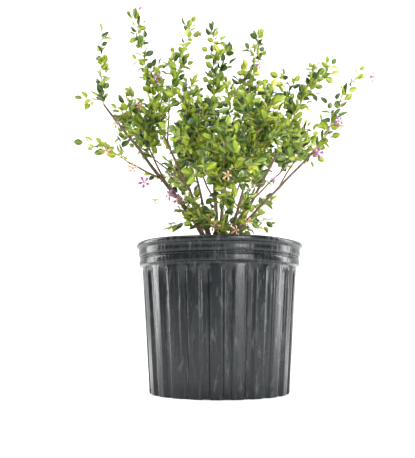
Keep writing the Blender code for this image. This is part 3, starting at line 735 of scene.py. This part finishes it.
def grow_mass(name, dice):
    """The main shoots, twigs and finer twigs of a mass, as lists of paths."""
    carrier, share, tip, tips, reach, fullness = FOLIAGE[name]
    start, heading = along(limbs[carrier][0], share)
    if share < 1:
        heading = between(heading * FORK_LEAN, metres(tip) - start)
    stem = course(start, heading, metres(tip), STEM_STEPS)
    mains = [wander(path, SHOOT_BENDS, place=7) for path in [stem, *lay_shoots(stem, tips)]]
    twigs = []
    fine = []
    turn = dice.uniform(0, tau)
    for number, path in enumerate(mains):
        bare = STEM_BARE if number == 0 else SHOOT_BARE
        count = max(1, round(path_length(path) * (1 - bare) / TWIG_SPACING * fullness))
        for k in range(count):
            share = bare + (1 - bare) * (k + FIRST_PLACE) / (count + FIRST_PLACE)
            root, heading = along(path, share)
            turn += GOLDEN_TURN
            side, other = across(heading)
            aim = (heading * TWIG_LEAN + side * cos(turn) + other * sin(turn)).normalized()
            size = reach / 1000 * (LOWEST_TWIG_SHARE - TIPWARD_LOSS * share) * dice.uniform(*TWIG_SPREAD)
            twig = course(root, aim, root + (aim + UP * TWIG_LIFT) * size, TWIG_STEPS)
            twigs.append(twig)
            if size > FORKED_TWIG:
                root, heading = along(twig, FORK_SHARE)
                side, other = across(heading)
                aim = (heading + side * sin(turn * 2) + other * cos(turn * 2)).normalized()
                fine.append(course(root, aim, root + aim * size * FINE_SHARE, FINE_STEPS))
    return mains, twigs, fine


def tapered(path, first, last):
    """A path with radii that go evenly from first to last."""
    steps = len(path) - 1
    return path, [first + (last - first) * (k / steps) for k in range(steps + 1)]


def shoot_finish(name, brown, green, low, high):
    """Smooth young bark, tan and green in patches, with fine fibres along it."""
    layers = [((18, 18, 18), low, high, 2, green),
              ((700, 700, 160), 0.35, 0.65, 3, [1.25 * channel for channel in brown])]
    return layered_finish(name, green, 0.6, brown, layers, relief=(1, 0.3, 0.0004))[0]


shoots = {name: grow_mass(name, random.Random(number + 1)) for number, name in enumerate(FOLIAGE)}
stem_lines = []
twig_lines = []
for mains, twigs, fine in shoots.values():
    stem_lines.append(tapered(mains[0], STEM_RADIUS, END_RADIUS))
    stem_lines += [tapered(path, SHOOT_RADIUS, END_RADIUS) for path in mains[1:]]
    twig_lines += [tapered(path, TWIG_RADIUS, TWIG_END_RADIUS) for path in twigs + fine]
tan_shoot = shoot_finish("tan_shoot", (0.3, 0.2, 0.1), (0.3, 0.32, 0.1), low=0.42, high=0.6)
green_twig = shoot_finish("green_twig", (0.32, 0.24, 0.1), (0.24, 0.36, 0.08), low=0.3, high=0.5)
main_shoots = settle("main_shoots", line_mesh("main_shoots", stem_lines), grow_stems,
                     {"Sides": 8, "Relief": 0.0003, "Grain": 500.0, "Finish": tan_shoot})
side_twigs = settle("side_twigs", line_mesh("side_twigs", twig_lines), grow_stems,
                    {"Sides": 6, "Relief": 0.0001, "Grain": 500.0, "Finish": green_twig})
for piece in (main_shoots, side_twigs):
    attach(piece, "root")


# Leaves
# Small spoon-shaped leaves on short stalks, alternate and close along shoots and twigs, smaller towards
# the tips, each folded a little along a pale middle vein: green and a few yellow, with yellow-green copies
# that paint light on them, more of them higher up, and dark green copies that paint shade.
LEAF_SPACING = 0.0054
LEAF_LENGTH = 0.024
TIP_LEAF_LENGTH = 0.0155
LEAF_CLEARANCE = 0.006
LEAF_MIDDLE = 0.7
LOWEST_LEAF = POT_HEIGHT + 0.003
LEAF_SPREAD = (0.8, 1.5)
END_LEAF_SPREAD = 0.25
LEAF_LIFT = (-0.15, 0.35)
LEAF_ROLL = 0.6
FACE_RISE = 0.6
FACE_OUTWARD = 0.5
LEAF_SIZES = (0.7, 1.12)
LEAF_STATIONS = 7
LEAF_STALK = (0.08, 0.3)
STALK_WIDTH = 0.02
HALF_THICKNESS = 0.008
LEAF_WAVE = 0.02
VEIN_SLANT = 1.3
VEIN_PITCH = 58

# The first turn of the leaves on each kind of path, and their lengths at its foot and at its tip
LEAFY_ON_MAINS = (1.0, LEAF_LENGTH, TIP_LEAF_LENGTH)
LEAFY_ON_TWIGS = (2.0, 0.9 * LEAF_LENGTH, 0.75 * LEAF_LENGTH)
LEAFY_ON_FINE = (3.0, 0.8 * LEAF_LENGTH, 0.65 * LEAF_LENGTH)

# Chances of a leaf's tint: yellow, yellow-green for painted light at the pot's foot, more of it with height
# and its random spread, green rather than dark green for painted shade
YELLOW_CHANCE = 0.05
PAINTED_LIGHT_CHANCE = 0.25
LIGHT_GAIN = 0.45
LIGHT_BY_HEIGHT = 1.6
LIGHT_SPREAD = 0.3
GREEN_CHANCE = 0.8


def leaf_shape(name, width, widest, fold, droop, cup):
    """One leaf, one unit long, along +X from its stalk: a thin closed lens with a fold and a droop."""
    points = [(0, 0, 0)]
    for k in range(1, LEAF_STATIONS):
        t = k / LEAF_STATIONS
        blade = sin(pi * t ** widest) ** 0.8
        half = max(STALK_WIDTH, width / 2 * blade * smooth_step(*LEAF_STALK, t))
        height = -droop * t * t + LEAF_WAVE * sin(6 * t)
        edge = height + half * fold + cup * sin(pi * t)
        points += [(t, half, edge), (t, 0, height + HALF_THICKNESS),
                   (t, -half, edge), (t, 0, height - HALF_THICKNESS)]
    points.append((1, 0, -droop))
    tip = len(points) - 1
    faces = end_faces(0, 1, 4) + ring_faces(1, 4, LEAF_STATIONS - 1) + end_faces(tip, tip - 4, 4)
    made = shape_object(name, points, faces)
    layer = made.data.uv_layers.new(name="UVMap")
    for loop in made.data.loops:
        x, y, _ = points[loop.vertex_index]
        layer.data[loop.index].uv = (x, 0.5 + y)
    return made


def shape_object(name, points, faces):
    """An object of a closed smooth mesh whose faces are turned outwards."""
    work = bmesh.new()
    corners = [work.verts.new(point) for point in points]
    for face in faces:
        work.faces.new([corners[k] for k in face])
    bmesh.ops.recalc_face_normals(work, faces=work.faces)
    for face in work.faces:
        face.smooth = True
    mesh = bpy.data.meshes.new(name)
    work.to_mesh(mesh)
    work.free()
    return bpy.data.objects.new(name, mesh)


def leaf_finish(name, face, vein, dark):
    """Satin leaf colour with a pale middle vein, side veins, and soft mottling."""
    made, shader = new_material(name, face, 0.45, Specular_IOR_Level=0.35)
    tree = made.node_tree
    place = node(tree, "ShaderNodeUVMap", uv_map="UVMap")
    split = node(tree, "ShaderNodeSeparateXYZ", {0: place})
    aside = compute(tree, "ABSOLUTE", compute(tree, "SUBTRACT", split.outputs["Y"], 0.5))
    middle = node(tree, "ShaderNodeMapRange", {"Value": aside, "From Min": 0.03, "From Max": 0.005})
    slant = compute(tree, "MULTIPLY_ADD", aside, VEIN_SLANT, split)
    wave = compute(tree, "SINE", compute(tree, "MULTIPLY", slant, VEIN_PITCH))
    side_veins = node(tree, "ShaderNodeMapRange",
                      {"Value": wave, "From Min": 0.75, "From Max": 1, "To Max": 0.35})
    veins = compute(tree, "MAXIMUM", middle, side_veins).outputs[0]
    patches = mottle(tree, (90, 90, 90), low=0.38, high=0.66, detail=3)
    base = mix_colour(tree, patches, face, dark)
    tree.links.new(mix_colour(tree, veins, base, vein), shader.inputs["Base Color"])
    tree.links.new(mix_value(tree, patches, 0.4, 0.55), shader.inputs["Roughness"])
    tree.links.new(bump(tree, veins, strength=0.35, distance=0.0006), shader.inputs["Normal"])
    return made


def setting_tree():
    """A shape at each point, turned and sized by the points' attributes."""
    tree, given = geometry_tree("set_shapes", {"Shape": "Object", "Finish": "Material"})
    turn = node(tree, "GeometryNodeInputNamedAttribute", {"Name": "turn"}, data_type="QUATERNION")
    size = node(tree, "GeometryNodeInputNamedAttribute", {"Name": "size"}, data_type="FLOAT")
    end_tree(tree, given, set_on_points(tree, given["Shape"], given["Geometry"], turn, size))
    return tree


set_shapes = setting_tree()


def set_pieces(name, shape, places, finish):
    """One joined piece of a shape set at places of (point, direction, face, size)."""
    mesh = bpy.data.meshes.new(name + "_places")
    mesh.from_pydata([point for point, _, _, _ in places], [], [])
    turns = []
    for _, direction, face, _ in places:
        side = face.cross(direction).normalized()
        turns += list(Matrix((direction, side, direction.cross(side))).transposed().to_quaternion())
    sizes = [size for _, _, _, size in places]
    mesh.attributes.new("size", "FLOAT", "POINT").data.foreach_set("value", sizes)
    mesh.attributes.new("turn", "QUATERNION", "POINT").data.foreach_set("value", turns)
    made = settle(name, mesh, set_shapes, {"Shape": shape, "Finish": finish})
    bpy.data.objects.remove(shape)
    return made


limb_points = [point for path, _, _ in limbs.values() for point in path]
limb_search = KDTree(len(limb_points))
for number, point in enumerate(limb_points):
    limb_search.insert(point, number)
limb_search.balance()


def grow_leaves(paths, spacing, where, dice):
    """Places for leaves at the joints of the paths and at their tips, clear of the pot and the canes."""
    turn, first, last = where
    places = []
    for path in paths:
        count = max(1, int(path_length(path) / spacing))
        for k in range(count + 1):
            at_end = k == count
            share = 1 if at_end else (k + FIRST_PLACE) / (count + FIRST_PLACE)
            root, heading = along(path, share)
            turn += GOLDEN_TURN
            side, other = across(heading)
            outward = side * cos(turn) + other * sin(turn)
            spread = END_LEAF_SPREAD if at_end else dice.uniform(*LEAF_SPREAD)
            direction = (heading + outward * spread + UP * dice.uniform(*LEAF_LIFT)).normalized()
            roll = Vector([dice.uniform(-LEAF_ROLL, LEAF_ROLL) for _ in range(3)])
            size = (first + (last - first) * share) * dice.uniform(*LEAF_SIZES)
            end = root + direction * size
            if end.z < LOWEST_LEAF or limb_search.find(root.lerp(end, LEAF_MIDDLE))[2] < LEAF_CLEARANCE:
                continue
            places.append((root, direction, UP * FACE_RISE + outward * FACE_OUTWARD + roll, size))
    return places


def leaf_tint(place, dice):
    """The piece that a leaf goes into: more of the yellow-green ones with painted light higher up, where
    there is more light.
    """
    light = place[0].z * LIGHT_BY_HEIGHT + dice.uniform(-LIGHT_SPREAD, LIGHT_SPREAD)
    choice = dice.random()
    if choice < YELLOW_CHANCE:
        return "yellow_leaves"
    if choice < PAINTED_LIGHT_CHANCE + LIGHT_GAIN * light:
        return "bright_leaves"
    return "green_leaves" if choice < GREEN_CHANCE else "deep_leaves"


# The shape of each piece's leaves, and their colours: the face, the veins and the darker patches
LEAF_LOOKS = {
    # Yellow-green copy of the green leaf: painted light, as of sun shining through the leaves
    "bright_leaves": (("cupped_leaf", 0.58, 1.15, 0.3, 0.1, 0.03),
                      (0.27, 0.36, 0.02), (0.45, 0.5, 0.09), (0.18, 0.27, 0.015)),
    "green_leaves": (("flat_leaf", 0.6, 1.2, 0.15, 0.06, 0.0),
                     (0.11, 0.19, 0.014), (0.24, 0.31, 0.06), (0.075, 0.14, 0.012)),
    # Dark green copy of the green leaf: painted shade inside the bush
    "deep_leaves": (("drooping_leaf", 0.54, 1.1, 0.4, 0.22, 0.02),
                    (0.035, 0.085, 0.01), (0.11, 0.19, 0.04), (0.022, 0.055, 0.008)),
    "yellow_leaves": (("folded_leaf", 0.5, 1.15, 0.55, 0.12, 0.03),
                      (0.45, 0.45, 0.03), (0.6, 0.6, 0.2), (0.38, 0.42, 0.05)),
}
leaf_dice = random.Random(5)
tinted = {name: [] for name in LEAF_LOOKS}
for name, (mains, twigs, fine) in shoots.items():
    spacing = LEAF_SPACING / FOLIAGE[name][5]
    places = grow_leaves(mains, spacing, LEAFY_ON_MAINS, leaf_dice)
    places += grow_leaves(twigs, spacing, LEAFY_ON_TWIGS, leaf_dice)
    places += grow_leaves(fine, LEAF_SPACING, LEAFY_ON_FINE, leaf_dice)
    for place in places:
        tinted[leaf_tint(place, leaf_dice)].append(place)
for name, (shape, face, vein, dark) in LEAF_LOOKS.items():
    finish = leaf_finish(name.replace("leaves", "leaf"), face, vein, dark)
    leaves = set_pieces(name, leaf_shape(*shape), tinted[name], finish)
    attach(leaves, "root")
    if name == "green_leaves":
        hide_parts(*["foliage_" + mass for mass in FOLIAGE])


# Flowers
# Five-petalled flowers on thin stalks at the joints: violet with a paler bloom when open, and dry and
# tan when over. Each has a small green cup behind and a tuft of pale stamens in front.
FLOWER_RADIUS = 0.0098
FLOWER_SIZES = (0.9, 1.08)
FLOWER_ROLL = 0.5
FLOWER_BACK = 0.45
TO_FRONT = Vector((0, -0.7, 0.15))
BACK_FROM = 0.1
TO_BACK_SHARE = -0.6
STALK_RADIUS = 0.0005
STALK_END_RADIUS = 0.00045
STALK_STEPS = 6
PETALS = 5
PETAL_FOOT = 0.14
PETAL_CUP = 0.05
PETAL_HALF_THICKNESS = 0.012
PETAL_OUTLINE = ((0.04, 0.05), (0.3, 0.1), (0.55, 0.22), (0.78, 0.24), (0.95, 0.1))
WIDEST_HALF = 0.24
ROD_SIDES = 5
CUP_SIDES = 8
FRONT = Vector((1, 0, 0))

# Where the flowers stand, in millimetres
OPEN_FLOWERS = [(-142, 30, 682), (-110, 10, 541), (-33, 45, 638), (70, 15, 567), (-119, -85, 335),
                (-80, -60, 319), (-67, -60, 312), (252, -70, 512), (159, -70, 385), (89, -62, 341),
                (193, -75, 436), (-169, -55, 440), (10, 215, 470), (-130, 160, 470), (120, 185, 460),
                (-60, 200, 420)]
FADED_FLOWERS = [(-182, -75, 389), (-139, -72, 361), (10, -125, 310), (-7, -80, 264), (45, -80, 271),
                 (26, -85, 258), (36, -150, 350), (46, -150, 324), (9, -170, 370), (-34, -50, 469),
                 (-133, -40, 475), (-104, -70, 309), (200, -70, 430), (12, -180, 325), (90, 140, 350),
                 (-70, 140, 370)]


def petal_shape(name, reach, width, curl):
    """A ring of petals round +X, one unit in radius: each a thin closed blade that curls back."""
    points = []
    faces = []
    thickness = FRONT * PETAL_HALF_THICKNESS
    for number in range(PETALS):
        angle = number * tau / PETALS
        outward = Vector((0, cos(angle), sin(angle)))
        aside = Vector((0, -sin(angle), cos(angle)))
        first = len(points)
        for t, half in PETAL_OUTLINE:
            centre = outward * reach * t + FRONT * (PETAL_FOOT - curl * t * t)
            edge = aside * half * width
            rise = FRONT * (PETAL_CUP * half / WIDEST_HALF)
            points += [centre + edge + rise, centre + thickness, centre - edge + rise, centre - thickness]
        points.append(outward * reach + FRONT * (PETAL_FOOT - curl))
        tip = len(points) - 1
        faces.append((first, first + 1, first + 2, first + 3))
        faces += ring_faces(first, 4, len(PETAL_OUTLINE)) + end_faces(tip, tip - 4, 4)
    return shape_object(name, points, faces)


def rod(points, faces, start, end, first, last, sides=ROD_SIDES):
    """Adds a closed tapering rod to a list of points and faces."""
    direction = (end - start).normalized()
    side, other = across(direction)
    low = len(points)
    for centre, radius in ((start, first), (end, last)):
        for k in range(sides):
            angle = k * tau / sides
            points.append(centre + radius * (cos(angle) * side + sin(angle) * other))
    faces += [tuple(range(low, low + sides)), tuple(range(low + sides, low + 2 * sides))]
    faces += ring_faces(low, sides, 2)


def stamen_shape(name):
    """Five threads with swollen ends round a longer one, facing +X."""
    points = []
    faces = []
    for number in range(PETALS + 1):
        angle = number * tau / PETALS
        middle = number == PETALS
        spread = Vector((0, cos(angle), sin(angle))) * (0 if middle else 0.2)
        root = FRONT * 0.12 + spread * 0.3
        tip = FRONT * (0.72 if middle else 0.62) + spread
        rod(points, faces, root, tip, first=0.02, last=0.014)
        rod(points, faces, tip - FRONT * 0.03, tip + FRONT * 0.08, first=0.035, last=0.03)
    return shape_object(name, points, faces)


def cup_shape(name):
    """The flower's green cup and short tube, closed, behind the petals."""
    points = []
    faces = []
    rod(points, faces, FRONT * -0.5, FRONT * -0.12, first=0.09, last=0.16, sides=CUP_SIDES)
    rod(points, faces, FRONT * -0.16, FRONT * 0.15, first=0.11, last=0.15, sides=CUP_SIDES)
    return shape_object(name, points, faces)


def petal_finish(name, deep, bloom, roughness):
    """Petal colour with a paler bloom in soft streaks and a faint sheen."""
    streaks = ((420, 420, 420), 0.4, 0.62, 3, bloom)
    return layered_finish(name, deep, roughness, deep, [streaks], relief=(0, 0.3, 0.0004),
                          Sheen_Weight=0.3)[0]


def lay_flowers(spots, seed):
    """The place of each flower, and its stalk from the nearest joint of a shoot or twig."""
    dice = random.Random(seed)
    joints = [point for mains, twigs, _ in shoots.values() for path in mains + twigs for point in path]
    places = []
    stalks = []
    for spot in spots:
        centre = metres(spot)
        root = min(joints, key=lambda point: (point - centre).length)
        outward = (centre - root).normalized()
        facing = (outward + TO_FRONT * (1 if centre.y < BACK_FROM else TO_BACK_SHARE)).normalized()
        back = centre - facing * FLOWER_RADIUS * FLOWER_BACK
        stalks.append(tapered(course(root, outward, back, STALK_STEPS), STALK_RADIUS, STALK_END_RADIUS))
        roll = Vector([dice.uniform(-FLOWER_ROLL, FLOWER_ROLL) for _ in range(3)])
        places.append((centre, facing, UP + roll, FLOWER_RADIUS * dice.uniform(*FLOWER_SIZES)))
    return places, stalks


open_places, open_stalks = lay_flowers(OPEN_FLOWERS, 3)
faded_places, faded_stalks = lay_flowers(FADED_FLOWERS, 4)
violet_petal = petal_finish("violet_petal", (0.17, 0.02, 0.15), (0.38, 0.08, 0.3), 0.5)
pale_stamen = petal_finish("pale_stamen", (0.75, 0.62, 0.4), (0.85, 0.75, 0.6), 0.6)
dry_petal = petal_finish("dry_petal", (0.55, 0.27, 0.13), (0.72, 0.45, 0.26), 0.8)
cup_green = shoot_finish("cup_green", (0.2, 0.25, 0.08), (0.16, 0.3, 0.05), low=0.3, high=0.5)
open_petals = petal_shape("open_petals", reach=1, width=1, curl=0.22)
curled_petals = petal_shape("curled_petals", reach=0.9, width=0.7, curl=0.5)
for piece in (set_pieces("violet_petals", open_petals, open_places, violet_petal),
              set_pieces("stamens", stamen_shape("stamen_tuft"), open_places, pale_stamen),
              set_pieces("dry_petals", curled_petals, faded_places, dry_petal),
              set_pieces("dry_stamens", stamen_shape("dry_tuft"), faded_places, dry_petal),
              set_pieces("flower_cups", cup_shape("flower_cup"), open_places + faded_places, cup_green),
              settle("flower_stalks", line_mesh("flower_stalks", open_stalks + faded_stalks), grow_stems,
                     {"Sides": 6, "Relief": 0.0, "Grain": 500.0, "Finish": green_twig})):
    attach(piece, "root")


# Studio
# A white cove, a tall soft light in front and another above, and two tall lights beside the pot that put
# the pale edges on its outermost flutes. The cove has a light of its own to keep it white.
COVE_HALF_WIDTH = 4
COVE_FRONT = -2.6
COVE_BACK = 1.2
COVE_RADIUS = 1.0
COVE_STEPS = 12
COVE_TOP = 3.4

# Where each soft light stands, where it aims, its width, its height and its power
LIGHTS = {
    "key": ((0.85, -1.47, 0.7), (0, 0, 0.35), 0.4, 1.4, 34),
    "top": ((-0.3, -0.4, 2.2), (0, 0, 0.45), 1.4, 1.4, 34),
    "left_edge": ((-1.15, 0.3, 0.4), (0, 0, 0.2), 0.4, 1.6, 22),
    "right_edge": ((1.15, 0.25, 0.4), (0, 0, 0.2), 0.4, 1.6, 22),
    "cove_light": ((0, 0.6, 2.4), (0, 1.6, 0.6), 2.4, 1.0, 60),
}


def build_cove():
    """A floor that curves up into a wall behind the plant."""
    rows = [(COVE_FRONT, 0.0), (COVE_BACK, 0.0)]
    for k in range(1, COVE_STEPS + 1):
        turn = pi / 2 * k / COVE_STEPS
        rows.append((COVE_BACK + COVE_RADIUS * sin(turn), COVE_RADIUS - COVE_RADIUS * cos(turn)))
    rows.append((COVE_BACK + COVE_RADIUS, COVE_TOP))
    points = [(x, y, z) for y, z in rows for x in (-COVE_HALF_WIDTH, COVE_HALF_WIDTH)]
    faces = [(2 * k, 2 * k + 1, 2 * k + 3, 2 * k + 2) for k in range(len(rows) - 1)]
    mesh = bpy.data.meshes.new("cove")
    mesh.from_pydata(points, [], faces)
    mesh.materials.append(new_material("cove_white", (0.93, 0.93, 0.93), 1.0, Specular_IOR_Level=0.0)[0])
    mesh.shade_smooth()
    return in_scene("cove", mesh)


build_cove()
for name, (place, aim, width, height, power) in LIGHTS.items():
    lamp = in_scene(name, bpy.data.lights.new(name, "AREA"))
    lamp.data.shape = "RECTANGLE"
    lamp.data.size = width
    lamp.data.size_y = height
    lamp.data.energy = power
    lamp.location = place
    lamp.rotation_euler = (Vector(aim) - Vector(place)).to_track_quat("-Z", "Y").to_euler()
world = bpy.data.worlds.new("studio")
world.use_nodes = True
sky = world.node_tree.nodes["Background"]
sky.inputs["Color"].default_value = (1, 1, 1, 1)
sky.inputs["Strength"].default_value = 0.22
bpy.context.scene.world = world
bpy.context.scene.view_settings.view_transform = "Standard"
